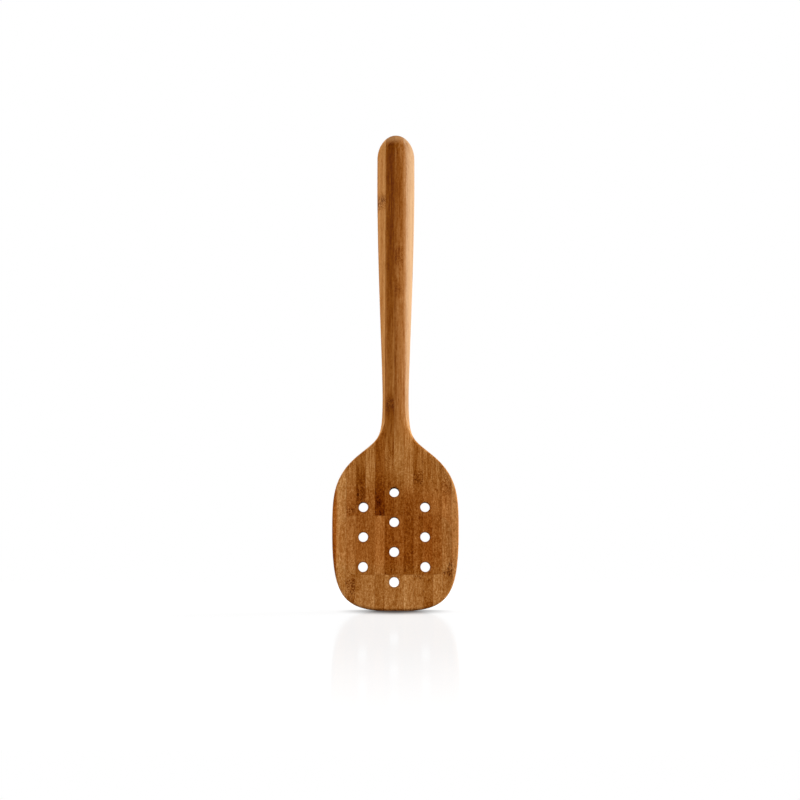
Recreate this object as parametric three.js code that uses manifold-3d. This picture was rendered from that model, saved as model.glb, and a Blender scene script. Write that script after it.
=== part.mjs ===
// A skimmer spoon in laminated bamboo, in millimetres, +Z up. It stands on its tip with the handle
// upright and its hollow side towards -Y. The blank is two boards of upright slats, glued face to
// face, and the spoon is milled out of it, so each slat keeps the part of the spoon's form that
// lies between its own glue faces. The ten drain holes are drilled straight through from the front.
import * as THREE from "three";
import { mergeVertices } from "three/addons/utils/BufferGeometryUtils.js";
import Module from "manifold-3d";

const wasm = await Module();
wasm.setup();

// Driving dimensions: the blank, two boards of upright slats
const bowlWidth = 79;
const millingLoss = 5; // the blank is this much wider than the bowl
const slatsAcross = 14; // slats in one board, half of them on each side of the middle glue line
const slatWidth = (bowlWidth + millingLoss) / slatsAcross;
const middleGlueLine = -0.8; // the glue line between left slat 1 and right slat 1
const glueLine = 0.1;

// Driving dimensions: the outline seen from the front
const spoonLength = 320;
const bowlWidestHeight = 53.5;
const tipFlat = 33.5; // reach of the tip's flat curve to each side
const cornerReach = 46; // reach of the bowl's side curve down towards the tip
const tipLand = 0.4; // depth sawn off the tip, which leaves a narrow flat to stand on
const shoulderHalfWidth = 23.7; // middle of the sloping shoulder
const shoulderHeight = 96;
const shoulderSlope = 49; // degrees from the spoon's axis
const shoulderRise = 18.7; // reach of the bowl's side curve up towards the shoulder
const shoulderRound = 18.8; // reach of the shoulder's slope down towards the side
const neckRound = 17.5; // reach of the shoulder's slope up towards the neck
const neckFillet = 28; // reach of the neck's line down towards the shoulder
const neckWidth = 17;
const neckHeight = 134;
const neckTaper = 20.5; // reach of the neck's line up into the handle
const handleRatio = 4.25; // the handle's width over a slat's
const handleWidth = handleRatio * slatWidth;
const domeHeight = 17;
const handleStraight = 13; // the handle keeps its full width this far below the dome
const handleFullHeight = spoonLength - domeHeight - handleStraight; // the taper ends here
const handleTaper = 59; // reach of the handle's line down into the taper

// Driving dimensions: the thickness, measured from the glue plane between the two boards
const lipRise = 3.2; // the tip's front edge stands this far forward
const floorDepth = 1.1; // the deepest point of the hollow lies this far back
const floorDrop = 9.5; // and this far below the widest part of the bowl
const floorHeight = bowlWidestHeight - floorDrop;
const floorReach = 38; // the hollow runs out this far above, at the flat face of the shoulder
const floorEnd = floorHeight + floorReach;
const rimRise = 4.3; // the side rim stands this far in front of the floor
const rimSteepness = 12; // power of the floor's upturn: a flat floor with quick sides
const neckFront = 2.4; // the neck's front line stands this far forward
const handleFront = 1.85; // and the handle's front line this far
const lipWall = 4.2;
const bowlWall = 5.2;
const rimWall = 3.6;
const keelPower = 1.5; // how the back falls away from its middle ridge to the rim
const neckDepth = 16;
const handleDepth = handleWidth;
const edgeRound = 2; // rounding of the bowl's edge, front and back
const slabEnd = 88; // below this the section is a slab with a rim
const roundStart = 124; // above this it is a round handle

// Driving dimensions: the drain holes
const drainDiameter = 6;
const drainPitch = 18.5; // between holes of one column
const drainColumn = 19.4; // from the middle column, drilled on the middle glue line, to the side columns
const lowestDrain = 17.2;
const middleDrains = 4;
const sideDrains = 3;

// Facets: how finely the curves are cut into flats
const outlinePoints = 800;
const drainSides = 24;
const columnsPerSlat = 3;
const lipSections = 8;
const lowerBowlSections = 8;
const upperBowlSections = 7;
const shoulderSections = 10;
const neckSections = 6;
const handleSections = 8;
const domeSections = 8;
const lipCrowding = 2; // power that crowds the lip's sections towards the tip
const weldDistance = 1e-4; // corners closer than this are one corner

// The outline's right half as one path, x across and y for the height
function spoonOutline() {
  const slope = THREE.MathUtils.degToRad(shoulderSlope);
  const along = new THREE.Vector2(-Math.sin(slope), Math.cos(slope));
  const side = bowlWidth / 2;
  const neck = neckWidth / 2;
  const handle = handleWidth / 2;
  const shoulder = new THREE.Vector2(shoulderHalfWidth, shoulderHeight);
  const below = shoulder.clone().addScaledVector(along, -shoulderRound);
  const above = shoulder.clone().addScaledVector(along, neckRound);
  const domeBase = spoonLength - domeHeight;
  const path = new THREE.Path();
  path.moveTo(0, -tipLand);
  path.bezierCurveTo(tipFlat, -tipLand, side, bowlWidestHeight - cornerReach, side, bowlWidestHeight);
  path.bezierCurveTo(side, bowlWidestHeight + shoulderRise, below.x, below.y, shoulder.x, shoulder.y);
  path.bezierCurveTo(above.x, above.y, neck, neckHeight - neckFillet, neck, neckHeight);
  const taperStart = neckHeight + neckTaper;
  const taperEnd = handleFullHeight - handleTaper;
  path.bezierCurveTo(neck, taperStart, handle, taperEnd, handle, handleFullHeight);
  path.lineTo(handle, domeBase);
  path.absellipse(0, domeBase, handle, domeHeight, 0, Math.PI / 2);
  return path.getSpacedPoints(outlinePoints);
}

const outline = spoonOutline();

// Half the spoon's width at a height
function halfWidth(z) {
  let low = 0;
  let high = outline.length - 1;
  if (z <= outline[low].y) return 0;
  if (z >= outline[high].y) return 0;
  while (high - low > 1) {
    const middle = (low + high) >> 1;
    if (outline[middle].y <= z) low = middle;
    else high = middle;
  }
  const share = (z - outline[low].y) / (outline[high].y - outline[low].y);
  return THREE.MathUtils.lerp(outline[low].x, outline[high].x, share);
}

// The distance from a point inside the outline to its edge
function edgeDistance(x, z) {
  const point = new THREE.Vector3(Math.abs(x), z, 0);
  const nearest = new THREE.Vector3();
  const stretch = new THREE.Line3();
  let least = Infinity;
  for (let i = 1; i < outline.length; i++) {
    stretch.start.set(outline[i - 1].x, outline[i - 1].y, 0);
    stretch.end.set(outline[i].x, outline[i].y, 0);
    stretch.closestPointToPoint(point, true, nearest);
    least = Math.min(least, nearest.distanceTo(point));
  }
  return least;
}

// 1 on the slab of the bowl, 0 on the round handle
function slabShare(z) {
  return 1 - THREE.MathUtils.smoothstep(z, slabEnd, roundStart);
}

// The front face along the middle of the spoon: lip, hollow, flat shoulder, straight handle
function frontLine(z) {
  const lerp = THREE.MathUtils.lerp;
  if (z < floorHeight) {
    const toTip = (floorHeight - z) / floorHeight;
    return floorDepth - (floorDepth + lipRise) * toTip ** 2;
  }
  if (z < neckHeight) {
    return lerp(floorDepth, -neckFront, THREE.MathUtils.smoothstep(z, floorHeight, floorEnd));
  }
  const upHandle = (z - neckHeight) / (spoonLength - neckHeight);
  return -lerp(neckFront, handleFront, upHandle);
}

// The thickness along the middle of the spoon, with the dome's rounding left out
function middleThickness(z) {
  const lerp = THREE.MathUtils.lerp;
  if (z < floorHeight) return lerp(lipWall, bowlWall, z / floorHeight);
  if (z < neckHeight) {
    return lerp(bowlWall, neckDepth, THREE.MathUtils.smoothstep(z, floorHeight, neckHeight));
  }
  const width = 2 * halfWidth(Math.min(z, spoonLength - domeHeight));
  return lerp(neckDepth, handleDepth, (width - neckWidth) / (handleWidth - neckWidth));
}

// How far the side rim turns up at a height: none at the tip, none on the neck
function rimUpturn(z) {
  const fromTip = THREE.MathUtils.smoothstep(z, 0, floorHeight);
  const toNeck = 1 - THREE.MathUtils.smoothstep(z, floorHeight, roundStart);
  return rimRise * fromTip * toNeck;
}

// The form's front and back at a point of the outline, as y values
function formDepth(x, z) {
  const width = halfWidth(z);
  const across = width > 0 ? Math.min(1, Math.abs(x) / width) : 1;
  const slab = slabShare(z);
  const ridge = middleThickness(z);
  const edge = THREE.MathUtils.lerp(ridge, rimWall, slab);
  const thickness = edge + (ridge - edge) * (1 - across ** 2) ** keelPower;
  const front = frontLine(z) - rimUpturn(z) * across ** rimSteepness;
  const middle = front + thickness / 2;
  const handleRound = Math.sqrt(1 - across ** 2);
  let rounding = handleRound;
  if (slab > 0) {
    const inset = across < 1 ? Math.min(1, edgeDistance(x, z) / edgeRound) : 0;
    rounding = THREE.MathUtils.lerp(handleRound, Math.sqrt(1 - (1 - inset) ** 2), slab);
  }
  const overDome = Math.max(0, z - (spoonLength - domeHeight)) / domeHeight;
  const dome = Math.sqrt(Math.max(0, 1 - overDome ** 2));
  const half = (thickness / 2) * rounding * dome;
  return { front: middle - half, back: middle + half };
}

// Heights from one level to another, leaving out the last; a power over 1 crowds them at the start
function levels(from, to, count, power = 1) {
  return Array.from({ length: count }, (_, i) => from + (to - from) * (i / count) ** power);
}

// Section heights, closer together where the outline or the thickness turns quickly
function sectionHeights() {
  const cornerTop = bowlWidestHeight - cornerReach;
  const neckBottom = neckHeight - neckFillet;
  const domeBase = spoonLength - domeHeight;
  const dome = Array.from({ length: domeSections + 1 }, (_, i) => {
    return domeBase + domeHeight * Math.sin((i / domeSections) * (Math.PI / 2));
  });
  return [
    ...levels(-tipLand, cornerTop, lipSections, lipCrowding),
    ...levels(cornerTop, bowlWidestHeight, lowerBowlSections),
    ...levels(bowlWidestHeight, floorEnd, upperBowlSections),
    ...levels(floorEnd, neckBottom, shoulderSections),
    ...levels(neckBottom, neckHeight, neckSections),
    ...levels(neckHeight, handleFullHeight, handleSections),
    handleFullHeight,
    ...dome,
  ];
}

const heights = sectionHeights();

// A closed solid from a position-only geometry
function solidOf(geometry) {
  geometry.deleteAttribute("normal");
  geometry.deleteAttribute("uv");
  const merged = mergeVertices(geometry, weldDistance);
  const corners = merged.index.array;
  const kept = [];
  for (let i = 0; i < corners.length; i += 3) {
    const [a, b, c] = corners.slice(i, i + 3);
    if (a !== b && b !== c && c !== a) kept.push(a, b, c);
  }
  const vertProperties = merged.attributes.position.array;
  const triVerts = new Uint32Array(kept);
  return new wasm.Manifold(new wasm.Mesh({ numProp: 3, vertProperties, triVerts }));
}

// One upright slat of the spoon's form between two glue faces, through both boards
function slatForm(left, right) {
  const clamp = THREE.MathUtils.clamp;
  const positions = [];
  const outwards = Math.abs(left + right) > slatWidth;
  const shares = Array.from({ length: columnsPerSlat + 1 }, (_, i) => {
    const even = i / columnsPerSlat;
    if (!outwards) return even;
    const crowded = Math.sin((even * Math.PI) / 2);
    return left + right > 0 ? crowded : 1 - Math.cos((even * Math.PI) / 2);
  });
  const rows = heights.map((z) => {
    const width = halfWidth(z);
    const from = clamp(left, -width, width);
    const to = clamp(right, -width, width);
    return shares.map((share) => {
      const x = THREE.MathUtils.lerp(from, to, share);
      const { front, back } = formDepth(x, z);
      return { front: [x, front, z], back: [x, back, z] };
    });
  });
  const quad = (a, b, c, d) => positions.push(...a, ...b, ...c, ...a, ...c, ...d);
  for (let i = 1; i < rows.length; i++) {
    const low = rows[i - 1];
    const high = rows[i];
    for (let j = 1; j < low.length; j++) {
      quad(low[j - 1].front, low[j].front, high[j].front, high[j - 1].front);
      quad(low[j].back, low[j - 1].back, high[j - 1].back, high[j].back);
    }
    const last = low.length - 1;
    quad(low[0].back, low[0].front, high[0].front, high[0].back);
    quad(low[last].front, low[last].back, high[last].back, high[last].front);
  }
  const geometry = new THREE.BufferGeometry();
  geometry.setAttribute("position", new THREE.Float32BufferAttribute(positions, 3));
  return solidOf(geometry);
}

// A slat of one board of the blank, before milling: a bar with its lower end on the standing plane
function bar(left, right, front, back) {
  const blankLength = spoonLength + slatWidth;
  const box = new THREE.BoxGeometry(right - left, back - front, blankLength);
  box.translate((left + right) / 2, (front + back) / 2, blankLength / 2);
  return solidOf(box);
}

// The ten drills, in three staggered columns
function drills() {
  const depth = 2 * (handleDepth + lipRise);
  const columns = [
    { x: middleGlueLine, lowest: lowestDrain, count: middleDrains },
    { x: middleGlueLine - drainColumn, lowest: lowestDrain + drainPitch / 2, count: sideDrains },
    { x: middleGlueLine + drainColumn, lowest: lowestDrain + drainPitch / 2, count: sideDrains },
  ];
  return columns.flatMap(({ x, lowest, count }) => {
    return Array.from({ length: count }, (_, i) => {
      const drill = new THREE.CylinderGeometry(drainDiameter / 2, drainDiameter / 2, depth, drainSides);
      drill.translate(x, 0, lowest + i * drainPitch);
      return solidOf(drill);
    });
  });
}

// Bamboo varies from slat to slat, from pale straw to caramel brown, under a satin oil finish
const bambooTones = [0xa9713a, 0x8a5527, 0xb98549, 0x74431d];
const satinRoughness = 0.45;

function slatMesh(name, solid, color) {
  const { numProp, numVert, vertProperties, triVerts } = solid.getMesh();
  const positions = new Float32Array(numVert * 3);
  for (let i = 0; i < numVert; i++) {
    positions.set(vertProperties.subarray(i * numProp, i * numProp + 3), i * 3);
  }
  const geometry = new THREE.BufferGeometry();
  geometry.setAttribute("position", new THREE.BufferAttribute(positions, 3));
  geometry.setIndex(new THREE.BufferAttribute(new Uint32Array(triVerts), 1));
  geometry.computeVertexNormals();
  const material = new THREE.MeshStandardMaterial({ color, roughness: satinRoughness, metalness: 0 });
  const mesh = new THREE.Mesh(geometry, material);
  mesh.name = name;
  return mesh;
}

// What a piece is called, from its board and from where it lies along the spoon
function pieceKind(boardName, lowest, highest) {
  if (boardName === "back") return lowest > neckHeight ? "flank" : "back";
  if (highest < floorHeight) return "lip";
  return lowest < floorHeight ? "rim" : "front";
}

// The slats to one side of the middle glue line, numbered outwards from it
function slatsOfSide(side, direction) {
  return Array.from({ length: slatsAcross / 2 }, (_, i) => {
    const inner = middleGlueLine + direction * (i * slatWidth + glueLine / 2);
    const outer = middleGlueLine + direction * ((i + 1) * slatWidth - glueLine / 2);
    return { side, number: i + 1, left: Math.min(inner, outer), right: Math.max(inner, outer) };
  });
}

// A name not yet given: a slat that the form cuts into several pieces of a kind numbers the later ones
function freeName(base) {
  const taken = new Set(spoon.children.map((mesh) => mesh.name));
  let name = base;
  for (let copy = 2; taken.has(name); copy++) name = `${base}_part_${copy}`;
  return name;
}

const boards = [
  { name: "front", front: -handleDepth, back: -glueLine / 2 },
  { name: "back", front: glueLine / 2, back: 2 * handleDepth },
];
const drainDrills = drills();
const spoon = new THREE.Group();
const slats = [...slatsOfSide("left", -1), ...slatsOfSide("right", 1)];
for (const { side, number, left, right } of slats) {
  let milled = slatForm(left, right);
  for (const drill of drainDrills) milled = milled.subtract(drill);
  for (const { name, front, back } of boards) {
    const pieces = milled.intersect(bar(left, right, front, back)).decompose();
    pieces.sort((a, b) => a.boundingBox().min[2] - b.boundingBox().min[2]);
    for (const piece of pieces) {
      const { min, max } = piece.boundingBox();
      const kind = pieceKind(name, min[2], max[2]);
      const label = freeName(`${kind}_slat_${side}_${number}`);
      const tone = bambooTones[spoon.children.length % bambooTones.length];
      spoon.add(slatMesh(label, piece, tone));
    }
  }
}

// The origin lies on the standing plane, below the middle of the spoon's width and depth
const extent = new THREE.Box3().setFromObject(spoon);
spoon.position.y = -(extent.min.y + extent.max.y) / 2;
const part = new THREE.Group();
part.add(spoon);

export default part;
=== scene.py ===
"""Skimmer spoon in laminated bamboo: two boards of edge-glued slats, milled to one form and drilled."""
import math

import bpy
import numpy as np
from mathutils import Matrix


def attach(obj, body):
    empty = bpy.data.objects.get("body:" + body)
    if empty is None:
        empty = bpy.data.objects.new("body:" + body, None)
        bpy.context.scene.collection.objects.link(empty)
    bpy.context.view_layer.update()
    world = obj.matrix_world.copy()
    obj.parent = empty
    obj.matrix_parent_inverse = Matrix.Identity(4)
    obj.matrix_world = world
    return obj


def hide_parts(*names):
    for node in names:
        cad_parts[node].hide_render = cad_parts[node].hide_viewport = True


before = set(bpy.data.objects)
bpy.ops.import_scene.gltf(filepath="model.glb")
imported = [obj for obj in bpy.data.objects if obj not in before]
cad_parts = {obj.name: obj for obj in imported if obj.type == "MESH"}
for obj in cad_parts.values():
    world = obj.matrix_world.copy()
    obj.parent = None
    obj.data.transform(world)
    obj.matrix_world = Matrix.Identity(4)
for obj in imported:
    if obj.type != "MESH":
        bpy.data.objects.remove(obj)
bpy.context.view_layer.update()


# Back board, middle slats. Two strips of carbonised bamboo, 6 mm wide, glued edge to edge at the spoon's
# middle, from the tip to the end of the handle. The glued blank is milled to its form, drilled and oiled,
# so the form, the drill and the grain of the bamboo are set here, with the first slats.
MM = 0.001
slat_width = 6.0
glue_film = 0.004
glue_plane = -9.831
middle_glue_line = -0.8

# The outline that is milled: heights above the tip, half widths, and how far each bend is pulled out.
spoon_length = 320.0
tip_offcut = 0.4
tip_pull = 33.5
bowl_half = 39.5
bowl_widest = 53.5
side_pull_below = 46
side_pull_above = 18.7
shoulder = np.array((23.7, 96.0))
shoulder_slope = math.radians(49)
shoulder_pull_below = 18.8
shoulder_pull_above = 17.5
neck_half = 8.5
neck_height = 134.0
neck_pull_below = 28
neck_pull_above = 20.5
handle_half = 12.75
handle_full = 290.0
handle_pull = 59
dome_start = 303.0
dome_height = spoon_length - dome_start

# The hollow and the thickness: the hollow cuts past the glue plane, the neck and handle stand in front of it.
hollow_height = 44.0
hollow_end = 82.0
hollow_depth = 1.1
rim_rise = 4.3
rim_wall = 3.6
edge_round = 2.0
slab_end = 88.0
round_start = 124.0
edge_end = round_start + 2 * edge_round
neck_cover = 2.4
end_cover = 1.85
tip_thickness = 4.2
hollow_thickness = 5.2
neck_thickness = 16
handle_thickness = 25.5
crown_power = 1.5
rim_power = 12

# How finely the form is milled: steps along the outline, and points across.
bowl_step = 0.7
handle_step = 1.5
dome_steps = 44
points_across = 121


def curve(start, first, second, end, count=400):
    """A bend from start to end, pulled towards the two points between them."""
    t = np.linspace(0, 1, count)[:, None]
    a, b, c, d = (np.asarray(p, float) for p in (start, first, second, end))
    return (1 - t) ** 3 * a + 3 * (1 - t) ** 2 * t * b + 3 * (1 - t) * t ** 2 * c + t ** 3 * d


def mix(a, b, t):
    """The value that lies the share t of the way from a to b."""
    return a + (b - a) * t


def ease(value, low, high):
    """Runs smoothly from 0 at low to 1 at high."""
    t = np.clip((value - low) / (high - low), 0, 1)
    return t * t * (3 - 2 * t)


tip_point = (0, -tip_offcut)
side_point = (bowl_half, bowl_widest)
neck_point = (neck_half, neck_height)
handle_point = (handle_half, handle_full)
shoulder_way = np.array((-math.sin(shoulder_slope), math.cos(shoulder_slope)))
quarter_turn = np.linspace(0, math.pi / 2, num=200)
outline = np.vstack((
    curve(tip_point, (tip_pull, -tip_offcut), (bowl_half, bowl_widest - side_pull_below), side_point),
    curve(side_point, (bowl_half, bowl_widest + side_pull_above),
          shoulder - shoulder_pull_below * shoulder_way, shoulder),
    curve(shoulder, shoulder + shoulder_pull_above * shoulder_way,
          (neck_half, neck_height - neck_pull_below), neck_point),
    curve(neck_point, (neck_half, neck_height + neck_pull_above),
          (handle_half, handle_full - handle_pull), handle_point),
    np.column_stack((handle_half * np.cos(quarter_turn), dome_start + dome_height * np.sin(quarter_turn))),
))
travel = np.concatenate(([0], np.cumsum(np.hypot(*np.diff(outline, axis=0).T))))
neck_travel = np.interp(neck_height, outline[:, 1], travel)
dome_travel = np.interp(dome_start, outline[:, 1], travel)
stations = np.concatenate((
    np.arange(0, neck_travel, bowl_step),
    np.arange(neck_travel, dome_travel, handle_step),
    np.linspace(dome_travel, travel[-1], dome_steps),
))
z = np.interp(stations, travel, outline[:, 1])[:, None]
half_width = np.interp(stations, travel, outline[:, 0])[:, None]
share = np.sin(np.linspace(-math.pi / 2, math.pi / 2, points_across))[None, :]
x = half_width * share


def distance_to_outline(px, pz, reach, spare=10, every=3, far=100.0):
    """Shortest way to the milled outline, for the points lower than reach."""
    line = outline[outline[:, 1] < reach + spare][::every]
    start = line[:-1]
    step = np.diff(line, axis=0)
    squared = np.maximum((step ** 2).sum(1), 1e-12)
    way = np.full(px.shape, far)
    for row in np.flatnonzero(pz[:, 0] < reach):
        dx = np.abs(px[row])[:, None] - start[:, 0]
        dz = pz[row, 0] - start[:, 1]
        t = np.clip((dx * step[:, 0] + dz * step[:, 1]) / squared, 0, 1)
        way[row] = np.hypot(dx - t * step[:, 0], dz - t * step[:, 1]).min(1)
    return way


up_handle = (z - neck_height) / (spoon_length - neck_height)
front_line = np.where(
    z < hollow_height,
    hollow_depth - rim_rise * ((hollow_height - z) / hollow_height) ** 2,
    np.where(
        z < neck_height,
        mix(hollow_depth, -neck_cover, ease(z, hollow_height, hollow_end)),
        -mix(neck_cover, end_cover, up_handle)))
swell = np.interp(np.minimum(z, dome_start), outline[:, 1], outline[:, 0]) - neck_half
ridge = np.where(
    z < hollow_height,
    mix(tip_thickness, hollow_thickness, z / hollow_height),
    np.where(
        z < neck_height,
        mix(hollow_thickness, neck_thickness, ease(z, hollow_height, neck_height)),
        mix(neck_thickness, handle_thickness, swell / (handle_half - neck_half))))
slab = 1 - ease(z, slab_end, round_start)
upturn = rim_rise * ease(z, 0, hollow_height) * (1 - ease(z, hollow_height, round_start))
edge = mix(ridge, rim_wall, slab)
thickness = edge + (ridge - edge) * (1 - share ** 2) ** crown_power
middle = front_line - upturn * np.abs(share) ** rim_power + thickness / 2
inset = np.clip(distance_to_outline(x, z, edge_end) / edge_round, 0, 1)
rounding = mix(np.sqrt(1 - share ** 2), np.sqrt(1 - (1 - inset) ** 2), slab)
dome = np.sqrt(np.clip(1 - ((z - dome_start) / dome_height).clip(0) ** 2, 0, 1))
half = thickness / 2 * rounding * dome
front = middle - half
back = middle + half

# The skin of the form: a ring of points at each station, closed by one point at the tip and one at the end.
station_count, columns = x.shape
rings = station_count - 2
centre = columns // 2
ring = np.concatenate((np.arange(columns), np.arange(columns - 2, 0, -1)))
ring_y = np.concatenate((front, back[:, columns - 2:0:-1]), axis=1)[1:-1]
ring_z = np.broadcast_to(z[1:-1], ring_y.shape)
skin = np.stack((x[1:-1][:, ring], ring_y + glue_plane, ring_z), axis=-1)
tip_centre = (0, front[0, centre] + glue_plane, z[0, 0])
end_centre = (0, front[-1, centre] + glue_plane, z[-1, 0])
points = np.vstack((skin.reshape(-1, 3), tip_centre, end_centre)) * MM
around = len(ring)
neighbours = [(c, (c + 1) % around) for c in range(around)]
faces = []
for number in range(rings - 1):
    low = number * around
    high = low + around
    faces += [(low + c, low + n, high + n, high + c) for c, n in neighbours]
tip = len(points) - 2
end = len(points) - 1
last = (rings - 1) * around
faces += [(tip, n, c) for c, n in neighbours]
faces += [(end, last + c, last + n) for c, n in neighbours]
blank = bpy.data.meshes.new("milled_blank")
blank.from_pydata(points.tolist(), [], faces)
blank.update()


def put(tree, kind, inputs=(), **settings):
    """Adds a node, sets it, and links or fills its inputs."""
    node = tree.nodes.new(kind)
    for name, value in settings.items():
        setattr(node, name, value)
    for key, value in dict(inputs).items():
        if isinstance(value, bpy.types.NodeSocket):
            tree.links.new(value, node.inputs[key])
        else:
            node.inputs[key].default_value = value
    return node


def open_tree(name, kind, inputs, outputs):
    """Starts a node tree with named sockets and gives what it takes in and puts out."""
    tree = bpy.data.node_groups.new(name, kind)
    for in_out, sockets in (("INPUT", inputs), ("OUTPUT", outputs)):
        for label, socket in sockets:
            tree.interface.new_socket(name=label, in_out=in_out, socket_type="NodeSocket" + socket)
    return tree, tree.nodes.new("NodeGroupInput").outputs, tree.nodes.new("NodeGroupOutput").inputs


def shaped(name, mesh, tree, values):
    """Runs a node tree on a mesh with its named inputs set, and keeps the result as a plain mesh."""
    body = bpy.data.objects.new(name, mesh)
    bpy.context.scene.collection.objects.link(body)
    modifier = body.modifiers.new(tree.name, "NODES")
    modifier.node_group = tree
    sockets = {s.name: s.identifier for s in tree.interface.items_tree if s.in_out == "INPUT"}
    for label, value in values.items():
        modifier[sockets[label]] = value
    evaluated = body.evaluated_get(bpy.context.evaluated_depsgraph_get())
    result = bpy.data.meshes.new_from_object(evaluated)
    body.modifiers.clear()
    body.data = result
    return body


# The drill: a middle column of holes and one on each side, half a pitch higher. A cone comes in from both
# sides, seats on the face it meets and eases the rim. How far it is proud and sunk is counted in eases.
hole_diameter = 6
hole_pitch = 18.5
hole_column = 19.4
lowest_hole = 17.2
middle_holes = 4
side_holes = 3
hole_ease = 0.25
bit_sides = 64
bit_length = 80
easing_start = 60
easing_proud = 0.2
easing_sink = 1.8
drill, given, made = open_tree(
    "drain holes", "GeometryNodeTree",
    (("Blank", "Geometry"), ("Diameter", "Float"), ("Pitch", "Float"), ("Column", "Float"),
     ("Middle", "Float"), ("Lowest", "Float"), ("Middle Holes", "Int"), ("Side Holes", "Int"),
     ("Ease", "Float")),
    (("Drilled", "Geometry"),))


def drill_sum(a, b, operation="ADD"):
    """A sum in the drill's tree."""
    return put(drill, "ShaderNodeMath", {0: a, 1: b}, operation=operation).outputs[0]


bit_radius = drill_sum(given["Diameter"], 0.5, "MULTIPLY")
bit = put(drill, "GeometryNodeMeshCylinder", {
    "Vertices": bit_sides, "Depth": bit_length * MM, "Radius": bit_radius})
pitch_step = put(drill, "ShaderNodeCombineXYZ", {"Z": given["Pitch"]}).outputs[0]
side_lowest = drill_sum(given["Lowest"], drill_sum(given["Pitch"], 0.5, "MULTIPLY"))
hole_places = put(drill, "GeometryNodeJoinGeometry")
for count, column, lowest in (
        ("Middle Holes", given["Middle"], given["Lowest"]),
        ("Side Holes", drill_sum(given["Middle"], given["Column"]), side_lowest),
        ("Side Holes", drill_sum(given["Middle"], given["Column"], "SUBTRACT"), side_lowest)):
    start = put(drill, "ShaderNodeCombineXYZ", {"X": column, "Z": lowest}).outputs[0]
    line = put(drill, "GeometryNodeMeshLine", {
        "Count": given[count], "Start Location": start, "Offset": pitch_step})
    drill.links.new(line.outputs[0], hole_places.inputs[0])
bits = put(drill, "GeometryNodeInstanceOnPoints", {
    "Points": hole_places.outputs[0], "Instance": bit.outputs[0], "Rotation": (math.pi / 2, 0, 0)})
cutters = [bits]
for side in (-1, 1):
    hole = put(drill, "GeometryNodeInputPosition").outputs[0]
    outside = put(drill, "ShaderNodeVectorMath", {0: hole, 1: (0, easing_start * MM * side, 0)})
    face = put(drill, "GeometryNodeRaycast", {
        "Target Geometry": given["Blank"], "Source Position": outside.outputs[0],
        "Ray Direction": (0, -side, 0)}).outputs
    seat = put(drill, "GeometryNodeSetPosition", {
        "Geometry": hole_places.outputs[0], "Position": face["Hit Position"]})
    tilt = put(drill, "FunctionNodeAlignRotationToVector", {"Vector": face["Hit Normal"]}, axis="Z")
    wider = drill_sum(given["Ease"], 1 + easing_proud, "MULTIPLY")
    narrower = drill_sum(given["Ease"], easing_sink - 1, "MULTIPLY")
    cone = put(drill, "GeometryNodeMeshCone", {
        "Vertices": bit_sides, "Depth": drill_sum(given["Ease"], easing_proud + easing_sink, "MULTIPLY"),
        "Radius Top": drill_sum(bit_radius, wider),
        "Radius Bottom": drill_sum(bit_radius, narrower, "SUBTRACT")})
    sink = put(drill, "ShaderNodeCombineXYZ", {"Z": drill_sum(given["Ease"], -easing_sink, "MULTIPLY")})
    sunk = put(drill, "GeometryNodeTransform", {
        "Geometry": cone.outputs[0], "Translation": sink.outputs[0]})
    cutters.append(put(drill, "GeometryNodeInstanceOnPoints", {
        "Points": seat.outputs[0], "Instance": sunk.outputs[0], "Rotation": tilt.outputs[0]}))
bored = put(drill, "GeometryNodeMeshBoolean", {"Mesh 1": given["Blank"]},
            operation="DIFFERENCE", solver="MANIFOLD")
for cutter in cutters:
    real = put(drill, "GeometryNodeRealizeInstances", {0: cutter.outputs[0]})
    drill.links.new(real.outputs[0], bored.inputs["Mesh 2"])
drill.links.new(bored.outputs[0], made["Drilled"])
drilled = shaped("drilled_blank", blank, drill, {
    "Diameter": hole_diameter * MM, "Pitch": hole_pitch * MM, "Column": hole_column * MM,
    "Middle": middle_glue_line * MM, "Lowest": lowest_hole * MM, "Middle Holes": middle_holes,
    "Side Holes": side_holes, "Ease": hole_ease * MM})
drilled_form = drilled.data
bpy.data.objects.remove(drilled)

# The saw: one slat is what stands of the drilled form between two corners.
saw, given, made = open_tree(
    "slat", "GeometryNodeTree",
    (("Form", "Geometry"), ("Low Corner", "Vector"), ("High Corner", "Vector"), ("Bamboo", "Material")),
    (("Slat", "Geometry"),))
corners = {0: given["High Corner"], 1: given["Low Corner"]}
bar_size = put(saw, "ShaderNodeVectorMath", corners, operation="SUBTRACT").outputs[0]
both_corners = put(saw, "ShaderNodeVectorMath", corners).outputs[0]
bar_place = put(saw, "ShaderNodeVectorMath", {0: both_corners, "Scale": 0.5}, operation="SCALE").outputs[0]
bar = put(saw, "GeometryNodeTransform", {
    "Geometry": put(saw, "GeometryNodeMeshCube", {"Size": bar_size}).outputs[0], "Translation": bar_place})
cut = put(saw, "GeometryNodeMeshBoolean", operation="INTERSECT", solver="MANIFOLD")
saw.links.new(given["Form"], cut.inputs["Mesh 2"])
saw.links.new(bar.outputs[0], cut.inputs["Mesh 2"])
oiled = put(saw, "GeometryNodeSetMaterial", {
    "Geometry": put(saw, "GeometryNodeRealizeInstances", {0: cut.outputs[0]}).outputs[0],
    "Material": given["Bamboo"]})
saw.links.new(oiled.outputs[0], made["Slat"])

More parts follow.
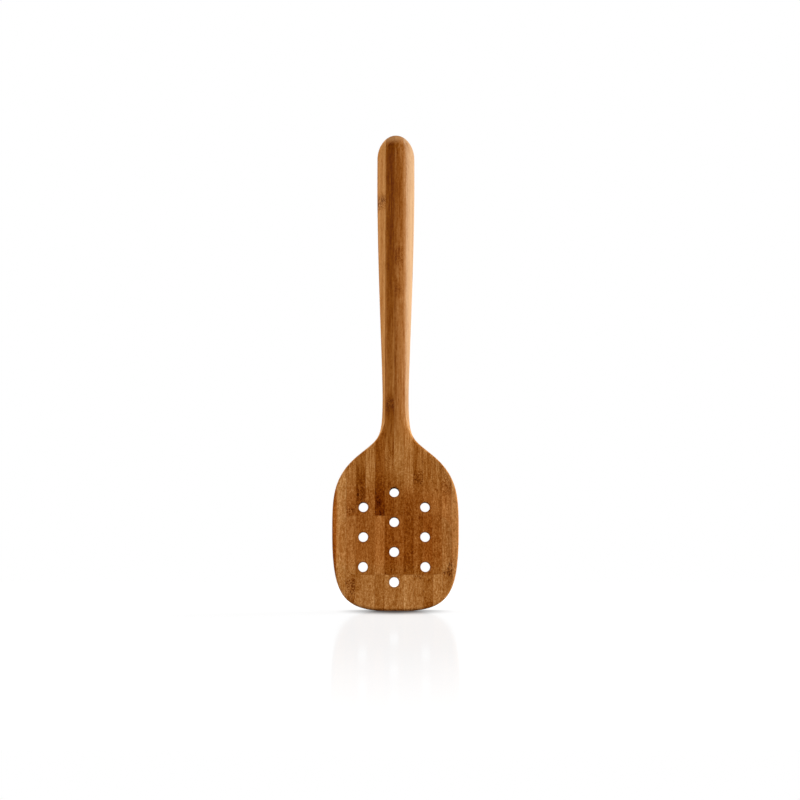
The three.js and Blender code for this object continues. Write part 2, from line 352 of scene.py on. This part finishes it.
# The grain: what one strip takes for its own, a painted highlight that it may take, and the knots and stains
# that it may have.
strip_traits = ("Seed", "Middle", "Tone", "Lean", "Core", "Red", "Painted Highlight", "Dashes")
marks = ("Knot", "Second Knot", "Stain", "Second Stain")
mark_sizes = ("Height", "Reach", "Depth")
grain, given, made = open_tree(
    "bamboo grain", "ShaderNodeTree",
    [(trait, "Float") for trait in strip_traits]
    + [(f"{mark} {measure}", "Float") for mark in marks for measure in mark_sizes],
    (("Color", "Color"), ("Roughness", "Float"), ("Polish", "Float"), ("Height", "Float")))


def work(operation, a, b=0.0, c=0.0):
    """A sum in the grain's tree."""
    return put(grain, "ShaderNodeMath", {0: a, 1: b, 2: c}, operation=operation).outputs[0]


def scaled(vector, scale):
    """A place in the grain, with each of its directions scaled."""
    return put(grain, "ShaderNodeVectorMath", {0: vector, 1: scale}, operation="MULTIPLY").outputs[0]


def swing(vector, across, along, detail=2.0, roughness=0.5, distortion=0.0):
    """Noise that swings about zero, with its swings to the millimetre across the slat and along it."""
    noise = put(grain, "ShaderNodeTexNoise", {
        "Vector": scaled(vector, (across, across, along)), "Scale": 1.0, "Detail": detail,
        "Roughness": roughness, "Distortion": distortion})
    return work("SUBTRACT", noise.outputs["Fac"], 0.5)


def fade(value, low, high, start=0.0, end=1.0):
    """Runs smoothly from start to end while a value runs from low to high."""
    return put(grain, "ShaderNodeMapRange", {
        "Value": value, "From Min": low, "From Max": high, "To Min": start, "To Max": end},
        interpolation_type="SMOOTHSTEP").outputs[0]


def tint(share, colour, other, blend_type="MIX"):
    """Mixes a share of another colour into a colour."""
    return put(grain, "ShaderNodeMix", {0: share, 6: colour, 7: other},
               data_type="RGBA", blend_type=blend_type).outputs[2]


def srgb(red, green, blue):
    """A screen colour, 0 to 255, as the shader's linear light."""
    shares = [channel / 255 for channel in (red, green, blue)]
    return [v / 12.92 if v <= 0.04045 else ((v + 0.055) / 1.055) ** 2.4 for v in shares] + [1]


# Each strip is cut from another place in the bamboo, and its fibres sway a little.
strip_shift = (13.7, 7.9, 41.3)
sway_width = 3
vessel_pitch = (1.1, 1.1, 0.2)
vessel_edge = (0.34, 0.1)
vessel_chance = (0.55, 0.65)
place = scaled(put(grain, "ShaderNodeTexCoord").outputs["Object"], (1 / MM, 1 / MM, 1 / MM))
spot = put(grain, "ShaderNodeSeparateXYZ", {0: place}).outputs
facing = put(grain, "ShaderNodeSeparateXYZ", {0: put(grain, "ShaderNodeTexCoord").outputs["Normal"]}).outputs
shift = put(grain, "ShaderNodeVectorMath", {0: strip_shift, "Scale": given["Seed"]}, operation="SCALE")
own = put(grain, "ShaderNodeVectorMath", {0: place, 1: shift.outputs[0]}).outputs[0]
sway = work("MULTIPLY", swing(own, across=0.05, along=0.018, detail=1), sway_width)
swayed = put(grain, "ShaderNodeCombineXYZ", {"X": sway}).outputs[0]
fibre = put(grain, "ShaderNodeVectorMath", {0: own, 1: swayed}).outputs[0]
fine = swing(fibre, across=1.3, along=0.07, detail=3, roughness=0.62)
broad = swing(fibre, across=0.34, along=0.011, detail=1.5)
hair = swing(fibre, across=3.4, along=0.06)
mottle = swing(own, across=0.85, along=0.5, detail=4, roughness=0.62)
speckle = swing(own, across=1.4, along=1.1, roughness=0.6)
vessels = put(grain, "ShaderNodeTexVoronoi", {"Vector": scaled(own, vessel_pitch), "Scale": 1.0}).outputs
chance = put(grain, "ShaderNodeSeparateColor", {0: vessels["Color"]}).outputs[0]
dash = work("MULTIPLY", fade(vessels["Distance"], *vessel_edge), fade(chance, *vessel_chance))

# Zones by height, in millimetres: where each starts, and where it is full.
hollow_from = (92, 76)
handle_from = (100, 135)
bowl_from = (124, 108)
hollow_shade_from_above = (84, 66)
hollow_shade_from_below = (20, 34)
polish_from = (310, 296)
polish_coat = 0.09
speckle_from = (124, 84)
painted_tip_shade_from = (2.2, 0)
pale_end_from = (308.5, 315.5)
hollow = fade(spot["Z"], *hollow_from)
handle = fade(spot["Z"], *handle_from)
bowl = fade(spot["Z"], *bowl_from)
# The deep middle of the hollow, where painted shade goes.
painted_hollow_shade = work("MULTIPLY", fade(spot["Z"], *hollow_shade_from_above), fade(spot["Z"], *hollow_shade_from_below))
polish = work("MULTIPLY", handle, fade(spot["Z"], *polish_from, end=polish_coat))
pale_end = fade(spot["Z"], *pale_end_from)

# The tone: the strip's own, then streaks, mottle, a painted highlight on the bowl's rims, vessels, painted
# shade at the tip, a painted highlight at the top end, knots and stains.
broad_strength = 0.32
painted_rim_highlight_slope = (0.93, 0.6)
worn_paler = 0.2
painted_tip_shade = 0.3
end_paler = 0.24
ragged_height = 8
stroke_width = 0.1
mark_edge = (1, 0.1)
off_middle = work("SUBTRACT", spot["X"], given["Middle"])
width = work("DIVIDE", off_middle, slat_width / 2)
leaning = work("MULTIPLY", width, given["Lean"])
bowed = work("MULTIPLY_ADD", work("MULTIPLY", width, width), given["Core"], leaning)
tone = work("MULTIPLY_ADD", bowed, handle, given["Tone"])
streaks = work("MULTIPLY", fade(hollow, 0, 1, start=0.9, end=0.5), fade(handle, 0, 1, start=1, end=0.65))
tone = work("MULTIPLY_ADD", fine, streaks, tone)
tone = work("MULTIPLY_ADD", broad, broad_strength, tone)
tone = work("MULTIPLY_ADD", mottle, fade(hollow, 0, 1, start=0.32, end=0.7), tone)
tone = work("MULTIPLY_ADD", speckle, fade(spot["Z"], *speckle_from, start=0.2, end=0.8), tone)
# Bowl surfaces that face sideways, along the rims, are painted paler: a painted highlight.
painted_rim_highlight = work("MULTIPLY", fade(work("ABSOLUTE", facing["Y"]), *painted_rim_highlight_slope), bowl)
tone = work("MULTIPLY_ADD", painted_rim_highlight, worn_paler, tone)
tone = work("SUBTRACT", tone, work("MULTIPLY", dash, given["Dashes"]))
# The lowest 2 mm of the tip, beside the floor, are painted darker: painted shade.
tone = work("SUBTRACT", tone, fade(spot["Z"], *painted_tip_shade_from, end=painted_tip_shade))
# The rounded top end of the handle is painted paler: a painted highlight.
tone = work("MULTIPLY_ADD", pale_end, end_paler, tone)
ragged = work("MULTIPLY", swing(own, across=0.3, along=0.2), ragged_height)
strokes = work("ABSOLUTE", swing(own, across=0.85, along=0.6, distortion=1.4))
squiggle = fade(strokes, 0, stroke_width, start=2.2, end=-0.1)
knots = 0.0
for mark in marks:
    away = work("SUBTRACT", spot["Z"], given[mark + " Height"])
    if "Knot" in mark:
        away = work("ADD", away, ragged)
    band = fade(work("DIVIDE", work("ABSOLUTE", away), given[mark + " Reach"]), *mark_edge)
    darker = work("MULTIPLY", band, given[mark + " Depth"])
    if "Knot" in mark:
        darker = work("MULTIPLY", darker, squiggle)
        knots = work("ADD", knots, darker)
    tone = work("SUBTRACT", tone, darker)

# The colour: a shade for each tone, a painted highlight on the handle's right side and top end, redder
# strips, painted shade in the deep of the hollow, dark glue lines, and darker drilled walls with painted
# shade under their overhangs and round their rims.
brightest = 1.25
darkest_shade = srgb(50, 12, 2)
brightest_shade = srgb(232, 184, 130)
highlight_colour = srgb(206, 172, 136)
glue_and_shade_colour = srgb(84, 42, 14)
red_filter = (1, 0.77, 0.53, 1)
hollow_shade_redder = 0.5
highlight_tones = (0.3, 0.9)
top_highlight_wash = 0.22
slat_seam = 0.25
board_seam = 0.04
seam_dark = 0.16
wall_edge = (0.3, 0.05)
hole_rim_shade_edge = (0.9, 0.2)
hole_rim_shade_depth = 0.4
down_facing_wall_slope = (-0.1, -0.6)
past_last_hole = 5
far_off = 100.0
shades = put(grain, "ShaderNodeValToRGB", {0: work("DIVIDE", tone, brightest)})
ramp = shades.color_ramp.elements
ramp[0].color = darkest_shade
ramp[1].color = brightest_shade
for level, shade in (
        (0.2, srgb(101, 43, 6)),
        (0.4, srgb(132, 71, 13)),
        (0.6, srgb(158, 99, 42)),
        (0.8, srgb(182, 126, 69)),
        (1.0, srgb(207, 154, 97))):
    ramp.new(level / brightest).color = shade
# Strips on the handle's right side are painted paler, and so is the top end: a painted highlight.
painted_highlight_share = work("MULTIPLY", given["Painted Highlight"], work("MULTIPLY", handle, fade(tone, *highlight_tones)))
painted_highlight_share = work("MAXIMUM", painted_highlight_share, work("MULTIPLY", pale_end, top_highlight_wash))
paler = tint(painted_highlight_share, shades.outputs[0], highlight_colour)
# In the deep of the hollow the colour is tinted darker and redder: painted shade.
redder = tint(work("MULTIPLY_ADD", painted_hollow_shade, hollow_shade_redder, given["Red"]), paler, red_filter, "MULTIPLY")
beside_seam = slat_width / 2 - slat_seam
off_plane = work("ABSOLUTE", work("SUBTRACT", spot["Y"], glue_plane))
seam = work("MAXIMUM", fade(work("ABSOLUTE", off_middle), beside_seam, slat_width / 2, end=seam_dark),
            fade(off_plane, board_seam, 0, end=seam_dark))
hole_radius = hole_diameter / 2
from_middle = work("ABSOLUTE", work("SUBTRACT", spot["X"], middle_glue_line))
bore = far_off
for column, lowest, count in (
        (0, lowest_hole, middle_holes),
        (hole_column, lowest_hole + hole_pitch / 2, side_holes)):
    highest = lowest + (count - 1) * hole_pitch
    beside = work("SUBTRACT", from_middle, column)
    above = work("WRAP", work("SUBTRACT", spot["Z"], lowest), hole_pitch / 2, -hole_pitch / 2)
    from_hole = work("SQRT", work("ADD", work("POWER", beside, 2), work("POWER", above, 2)))
    too_low = work("SUBTRACT", lowest - past_last_hole, spot["Z"])
    too_high = work("SUBTRACT", spot["Z"], highest + past_last_hole)
    beyond = work("GREATER_THAN", work("MAXIMUM", too_low, too_high), 0)
    bore = work("MINIMUM", bore, work("MULTIPLY_ADD", beyond, far_off, from_hole))
past_wall = work("SUBTRACT", bore, hole_radius)
drilled_wall = fade(past_wall, *wall_edge)
# Drilled walls are a little darker all round, and much darker where they face down: painted shade.
darker_wall_and_painted_shade = work("MULTIPLY", drilled_wall, fade(facing["Z"], *down_facing_wall_slope, start=0.25, end=0.9))
# A dark ring is painted round each hole's rim: painted shade.
painted_hole_rim_shade = fade(past_wall, *hole_rim_shade_edge, end=hole_rim_shade_depth)
# Glue lines, and the painted shade in and round the holes, take this dark colour.
glue_lines_and_painted_shade = work("MAXIMUM", seam, work("MAXIMUM", darker_wall_and_painted_shade, painted_hole_rim_shade))
grain.links.new(tint(glue_lines_and_painted_shade, redder, glue_and_shade_colour), made["Color"])

# The finish: satin oil, rougher in the drilled walls, with fibres raised and knots and vessels sunk a little.
satin = 0.43
satin_change = 0.16
wall_rougher = 0.5
hair_relief = 0.5
fine_relief = 0.5
knot_relief = 0.6
dash_relief = 0.5
sheen = work("MULTIPLY_ADD", work("ADD", mottle, fine), satin_change, satin)
relief = work("ADD", work("MULTIPLY", hair, hair_relief), work("MULTIPLY", fine, fine_relief))
relief = work("MULTIPLY_ADD", mottle, fade(hollow, 0, 1, start=0.1, end=0.6), relief)
pits = work("MULTIPLY_ADD", knots, knot_relief, work("MULTIPLY", dash, dash_relief))
relief = work("SUBTRACT", relief, pits)
grain.links.new(work("MULTIPLY_ADD", drilled_wall, wall_rougher, sheen), made["Roughness"])
grain.links.new(polish, made["Polish"])
grain.links.new(relief, made["Height"])


def bamboo(name, seed, middle, tone, lean=0.0, core=0.0, red=0.1, pale=0.0, dashes=0.12, **places):
    """One strip's own bamboo: its tone, the painted highlight it takes on the handle, and the height, reach
    and depth of its knots and stains.
    """
    material = bpy.data.materials.new(name)
    material.use_nodes = True
    tree = material.node_tree
    shader = tree.nodes["Principled BSDF"]
    shader.inputs["Specular IOR Level"].default_value = 0.0
    shader.inputs["Coat Roughness"].default_value = 0.35
    strip = put(tree, "ShaderNodeGroup", node_tree=grain)
    for trait, value in zip(strip_traits, (seed, middle, tone, lean, core, red, pale, dashes)):
        strip.inputs[trait].default_value = value
    for mark in marks:
        sizes = places.get(mark.lower().replace(" ", "_"), (0, 1, 0))
        for measure, value in zip(mark_sizes, sizes):
            strip.inputs[f"{mark} {measure}"].default_value = value
    bump = put(tree, "ShaderNodeBump", {
        "Strength": 0.25, "Distance": 0.2 * MM, "Height": strip.outputs["Height"]})
    tree.links.new(strip.outputs["Color"], shader.inputs["Base Color"])
    tree.links.new(strip.outputs["Roughness"], shader.inputs["Roughness"])
    tree.links.new(strip.outputs["Polish"], shader.inputs["Coat Weight"])
    tree.links.new(bump.outputs[0], shader.inputs["Normal"])
    return material


clear_of_form = 40
sharp_edge = math.radians(32)


def lay_slat(node, slot, lower=0.0, upper=spoon_length + 1, **look):
    """Saws one slat out of the drilled form, between two heights, and lets it stand for its node."""
    board, _, side, number = node.split("_")
    sign = 1 if side == "right" else -1
    inner = middle_glue_line + sign * (int(number) - 1) * slat_width
    left, right = sorted((inner, inner + sign * slat_width))
    behind = board in ("back", "flank")
    nearest = glue_plane + glue_film / 2 if behind else -clear_of_form
    farthest = clear_of_form if behind else glue_plane - glue_film / 2
    low = (left + glue_film / 2, nearest, lower)
    high = (right - glue_film / 2, farthest, upper)
    seed = int(number) + (10 if side == "right" else 0) + (20 if behind else 0)
    slat = shaped("bamboo_" + node, drilled_form, saw, {
        "Low Corner": [v * MM for v in low], "High Corner": [v * MM for v in high],
        "Bamboo": bamboo("bamboo_" + node, seed, (left + right) / 2, **look)})
    slat.data.shade_smooth()
    slat.data.set_sharp_from_angle(angle=sharp_edge)
    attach(slat, "root")
    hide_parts(node)


lay_slat("back_slat_left_1", "bamboo_brown", tone=0.47, red=0.2)
lay_slat("back_slat_right_1", "bamboo_brown", tone=0.52, red=0.2)


# Back board, outer handle slats. The next strip on each side runs the whole length too, and makes the round
# flanks of the handle. A last sliver of the third strip is left on the right flank, where the handle swells.
lay_slat("back_slat_left_2", "bamboo_straw", tone=0.81, lean=0.02, red=0.25,
         knot=(269, 8, 0.36), stain=(40, 60, 0.11))
# This strip and the sliver beside it are painted paler on the handle's right flank: a painted highlight.
lay_slat("back_slat_right_2", "bamboo_caramel", tone=0.78, lean=0.15, pale=0.7,
         stain=(36, 74, 0.39), second_stain=(310, 120, 0.1))
lay_slat("flank_slat_right_3", "bamboo_straw", lower=neck_height, tone=0.81, pale=0.75)


# Back board, bowl slats. Shorter strips glued on outwards, ten in all, which end at the milled shoulders.
# The floor of the hollow is cut into them.
for node, slot, look in (
        ("back_slat_left_3", "bamboo_caramel", dict(tone=0.58)),
        ("back_slat_left_4", "bamboo_caramel", dict(tone=0.54)),
        ("back_slat_left_5", "bamboo_caramel", dict(tone=0.67, red=0.0)),
        ("back_slat_left_6", "bamboo_straw", dict(tone=0.68, red=-0.2)),
        ("back_slat_left_7", "bamboo_caramel", dict(tone=0.55)),
        ("back_slat_right_3", "bamboo_caramel", dict(tone=0.47)),
        ("back_slat_right_4", "bamboo_caramel", dict(tone=0.48, red=0.3)),
        ("back_slat_right_5", "bamboo_caramel", dict(tone=0.53)),
        ("back_slat_right_6", "bamboo_straw", dict(tone=0.7, red=-0.1)),
        ("back_slat_right_7", "bamboo_caramel", dict(tone=0.68))):
    lay_slat(node, slot, upper=neck_height, **look)


# Front board, handle slats. Three strips glued over the back board, from the end of the handle down to the
# upper edge of the hollow. The round of the handle leaves only their middle standing.
lay_slat("front_slat_left_1", "bamboo_umber", lower=hollow_height, tone=0.46, lean=-0.05, core=0.22,
         knot=(129, 8, 0.15), second_knot=(92, 14, -0.1),
         stain=(300, 150, 0.24), second_stain=(126, 14, 0.13))
# The right front strips take a little of the painted highlight too.
lay_slat("front_slat_right_1", "bamboo_brown", lower=hollow_height, tone=0.48, lean=0.04, core=0.05,
         red=0.0, pale=0.1, knot=(228, 12, 0.1), second_knot=(206, 7, 0.1),
         stain=(98, 26, -0.18), second_stain=(290, 60, 0.1))
lay_slat("front_slat_right_2", "bamboo_straw", lower=hollow_height, tone=0.67, lean=-0.12, core=-0.28,
         pale=0.2, stain=(60, 20, 0.24), second_stain=(96, 22, 0.03))


# Front board, shoulder slats. The shorter strips of the front board, above the hollow. Their lower ends
# feather out along the line where the milled floor leaves the board.
for node, slot, look in (
        ("front_slat_left_2", "bamboo_umber", dict(tone=0.42, red=0.3, stain=(62, 30, 0.2))),
        ("front_slat_left_3", "bamboo_straw", dict(tone=0.6, stain=(92, 18, -0.12))),
        ("front_slat_left_4", "bamboo_brown", dict(tone=0.53, stain=(79, 15, 0.18), knot=(70, 9, 0.16))),
        ("front_slat_left_5", "bamboo_caramel", dict(tone=0.6, knot=(62, 5, 0.2))),
        ("front_slat_right_3", "bamboo_brown", dict(tone=0.52, knot=(81, 8, 0.16))),
        ("front_slat_right_4", "bamboo_straw", dict(tone=0.56)),
        ("front_slat_right_5", "bamboo_straw", dict(tone=0.61, dashes=0.2)),
        ("front_slat_right_6", "bamboo_brown", dict(tone=0.75, red=0.3, knot=(76, 9, 0.17)))):
    lay_slat(node, slot, lower=hollow_height, **look)


# Front board, lip slats. The lower ends of the same strips, left standing below the hollow as the lip, and
# sawn off square at the tip.
for node, slot, look in (
        ("lip_slat_left_1", "bamboo_caramel", dict(tone=0.66)),
        ("lip_slat_left_2", "bamboo_brown", dict(tone=0.57)),
        ("lip_slat_left_3", "bamboo_straw", dict(tone=0.71)),
        ("lip_slat_left_4", "bamboo_straw", dict(tone=0.63)),
        ("lip_slat_left_5", "bamboo_brown", dict(tone=0.63, knot=(14, 13, 0.22))),
        ("lip_slat_right_1", "bamboo_caramel", dict(tone=0.65)),
        ("lip_slat_right_2", "bamboo_straw", dict(tone=0.74)),
        ("lip_slat_right_3", "bamboo_caramel", dict(tone=0.65, knot=(21, 4, 0.24))),
        ("lip_slat_right_4", "bamboo_brown", dict(tone=0.57, dashes=0.25, stain=(2, 9, 0.12))),
        ("lip_slat_right_5", "bamboo_straw", dict(tone=0.7)),
        ("lip_slat_right_6", "bamboo_caramel", dict(tone=0.62, knot=(26, 8, 0.3), dashes=0.2))):
    lay_slat(node, slot, upper=hollow_height, **look)


# Front board, rim slats. The outermost strips of bamboo, edge-glued to the others, two on the left and one
# on the right. Each runs past the hollow in one length, and is milled to turn up with the rim.
lay_slat("rim_slat_left_6", "bamboo_caramel", tone=0.75, red=-0.3, stain=(8, 26, 0.12))
lay_slat("rim_slat_left_7", "bamboo_caramel", tone=0.5, red=0.35, dashes=0.35, stain=(28, 30, 0.12))
lay_slat("rim_slat_right_7", "bamboo_straw", tone=0.93, red=0.35, stain=(8, 32, 0.15))


# Floor. A smooth white board, lacquered, that the tip of the spoon stands on. The contact shadow close round
# the tip is painted into the board's colour and glow, and its gloss gives a faint reflection at low angles.
# Places on it are in metres.
floor_half = 8
shadow_offset = 0.0035
shadow_narrower = 2.05
shadow_shorter_behind = 2.2
shadow_core = 0.02
shadow_end = 0.085
shadow_darkest = 0.09
board_white = 0.2
board_glow = 0.78
far_glow = 0.3
far_round_tip = (0.2, 0.9)
far_behind_tip = (0, 0.2)
gloss_roughness = 0.085
gloss_wide_from = (0.6, 0.3)
gloss_wide = 0.12
gloss_close_from = (0.3, 0.05)
gloss_close = 0.15
gloss_grazing_from = (0.6, 0.88)
floor_corners = [(-floor_half, -floor_half, 0), (floor_half, -floor_half, 0),
                 (floor_half, floor_half, 0), (-floor_half, floor_half, 0)]
floor_mesh = bpy.data.meshes.new("floor")
floor_mesh.from_pydata(floor_corners, [], [(0, 1, 2, 3)])
floor = bpy.data.objects.new("floor", floor_mesh)
bpy.context.scene.collection.objects.link(floor)
lacquer = bpy.data.materials.new("floor_white")
lacquer.use_nodes = True
lacquer_tree = lacquer.node_tree
lacquer_tree.nodes.remove(lacquer_tree.nodes["Principled BSDF"])


def floor_sum(operation, a, b=0.0):
    """A sum in the floor's material."""
    return put(lacquer_tree, "ShaderNodeMath", {0: a, 1: b}, operation=operation).outputs[0]


def floor_fade(value, low, high, start=0.0, end=1.0):
    """Runs smoothly from start to end while a value runs from low to high, in the floor's material."""
    return put(lacquer_tree, "ShaderNodeMapRange", {
        "Value": value, "From Min": low, "From Max": high, "To Min": start, "To Max": end},
        interpolation_type="SMOOTHSTEP").outputs[0]


def seen_rays(tree):
    """1 for the rays that show a thing to the eye, and 0 for those that only carry light."""
    rays = put(tree, "ShaderNodeLightPath").outputs
    seen = rays["Is Camera Ray"]
    for kind in ("Is Glossy Ray", "Is Transmission Ray"):
        seen = put(tree, "ShaderNodeMath", {0: seen, 1: rays[kind]}, operation="MAXIMUM").outputs[0]
    return seen


on_floor = put(lacquer_tree, "ShaderNodeTexCoord").outputs["Object"]
floor_spot = put(lacquer_tree, "ShaderNodeSeparateXYZ", {0: on_floor}).outputs
sideways = floor_sum("ADD", floor_sum("ABSOLUTE", floor_spot["X"]), shadow_offset)
sideways = floor_sum("MULTIPLY", sideways, shadow_narrower)
behind_tip = floor_sum("SUBTRACT", floor_spot["Y"], glue_plane * MM)
lengthways = floor_sum("MAXIMUM", floor_sum("MULTIPLY", behind_tip, -1),
                       floor_sum("MULTIPLY", behind_tip, shadow_shorter_behind))
squares = floor_sum("ADD", floor_sum("POWER", sideways, 2), floor_sum("POWER", lengthways, 2))
from_tip = floor_sum("SQRT", squares)
# Painted shadow: the board's colour and glow are dark close round the tip, and clear from 85 mm out.
clear = floor_fade(from_tip, shadow_core, shadow_end, start=shadow_darkest)
matt = put(lacquer_tree, "ShaderNodeBsdfDiffuse", {"Color": floor_sum("MULTIPLY", clear, board_white)})
paler_away = floor_sum("MAXIMUM", floor_fade(from_tip, *far_round_tip, end=far_glow),
                       floor_fade(behind_tip, *far_behind_tip, end=far_glow))
brightness = floor_sum("ADD", floor_sum("MULTIPLY", clear, board_glow), paler_away)
glow = put(lacquer_tree, "ShaderNodeEmission", {
    "Strength": floor_sum("MULTIPLY", seen_rays(lacquer_tree), brightness)})
lit = put(lacquer_tree, "ShaderNodeAddShader", {0: matt.outputs[0], 1: glow.outputs[0]})
gloss = put(lacquer_tree, "ShaderNodeBsdfGlossy", {"Color": (1, 1, 1, 1), "Roughness": gloss_roughness})
grazing = put(lacquer_tree, "ShaderNodeLayerWeight", {"Blend": 0.5}).outputs["Facing"]
mirrored = floor_sum("MAXIMUM", floor_fade(from_tip, *gloss_wide_from, end=gloss_wide),
                     floor_fade(from_tip, *gloss_close_from, end=gloss_close))
mirrored = floor_sum("MULTIPLY", mirrored, floor_fade(grazing, *gloss_grazing_from))
board = put(lacquer_tree, "ShaderNodeMixShader", {0: mirrored, 1: lit.outputs[0], 2: gloss.outputs[0]})
lacquer_tree.links.new(board.outputs[0], lacquer_tree.nodes["Material Output"].inputs["Surface"])
floor_mesh.materials.append(lacquer)


# Light. A white room with a large soft box at each side, the right one stronger, a narrow strip behind each,
# and broad soft boxes in front and overhead. The boxes don't show in the gloss.
room_white = 1.0
room_light = 0.36
room = bpy.data.worlds.new("white_room")
bpy.context.scene.world = room
room.use_nodes = True
room_tree = room.node_tree
level = put(room_tree, "ShaderNodeMapRange", {
    "Value": seen_rays(room_tree), "To Min": room_light, "To Max": room_white}).outputs[0]
room_tree.links.new(level, room_tree.nodes["Background"].inputs["Strength"])
room_tree.nodes["Background"].inputs["Color"].default_value = (1, 1, 1, 1)


def soft_box(name, place, aim, width, height, power):
    """An area light at a place, turned to what it is aimed at, in metres and watts."""
    lamp = bpy.data.lights.new(name, "AREA")
    lamp.shape = "RECTANGLE"
    lamp.size = width
    lamp.size_y = height
    lamp.energy = power
    box = bpy.data.objects.new(name, lamp)
    box.location = place
    toward = np.array(aim) - np.array(place)
    pitch = math.atan2(math.hypot(toward[0], toward[1]), -toward[2])
    box.rotation_euler = (pitch, 0, math.atan2(toward[1], toward[0]) - math.pi / 2)
    box.visible_glossy = False
    bpy.context.scene.collection.objects.link(box)


mid_spoon = (0, 0, 0.18)
soft_box("soft_box_right", place=(0.58, -0.22, 0.2), aim=mid_spoon, width=0.4, height=0.5, power=3.9)
soft_box("strip_right", place=(0.46, 0.34, 0.22), aim=mid_spoon, width=0.16, height=0.6, power=2.4)
soft_box("soft_box_left", place=(-0.62, 0, 0.2), aim=mid_spoon, width=0.35, height=0.5, power=2.8)
soft_box("strip_left", place=(-0.4, 0.42, 0.22), aim=mid_spoon, width=0.12, height=0.6, power=0.5)
soft_box("soft_box_front", place=(0, -1.2, 0.36), aim=(0, 0, 0.15), width=1.0, height=0.7, power=6.3)
soft_box("soft_box_top", place=(0, 0.4, 1.0), aim=(0, 0.02, 0), width=0.5, height=0.35, power=2.5)


# Camera. A little above the floor in front of the spoon, hardly off its middle, and tilted up to take in
# the whole length. Colours are shown as they are, with no film look.
camera_aside = 2.85
camera_distance = 580
camera_height = 18
camera_tilt = math.radians(11.1255)
lens = bpy.data.cameras.new("camera")
lens.lens = 41.39
lens.sensor_width = 36
camera = bpy.data.objects.new("camera", lens)
camera.location = (camera_aside * MM, (glue_plane - camera_distance) * MM, camera_height * MM)
camera.rotation_euler = (math.pi / 2 + camera_tilt, 0, 0)
bpy.context.scene.collection.objects.link(camera)
bpy.context.scene.camera = camera
bpy.context.scene.view_settings.view_transform = "Standard"
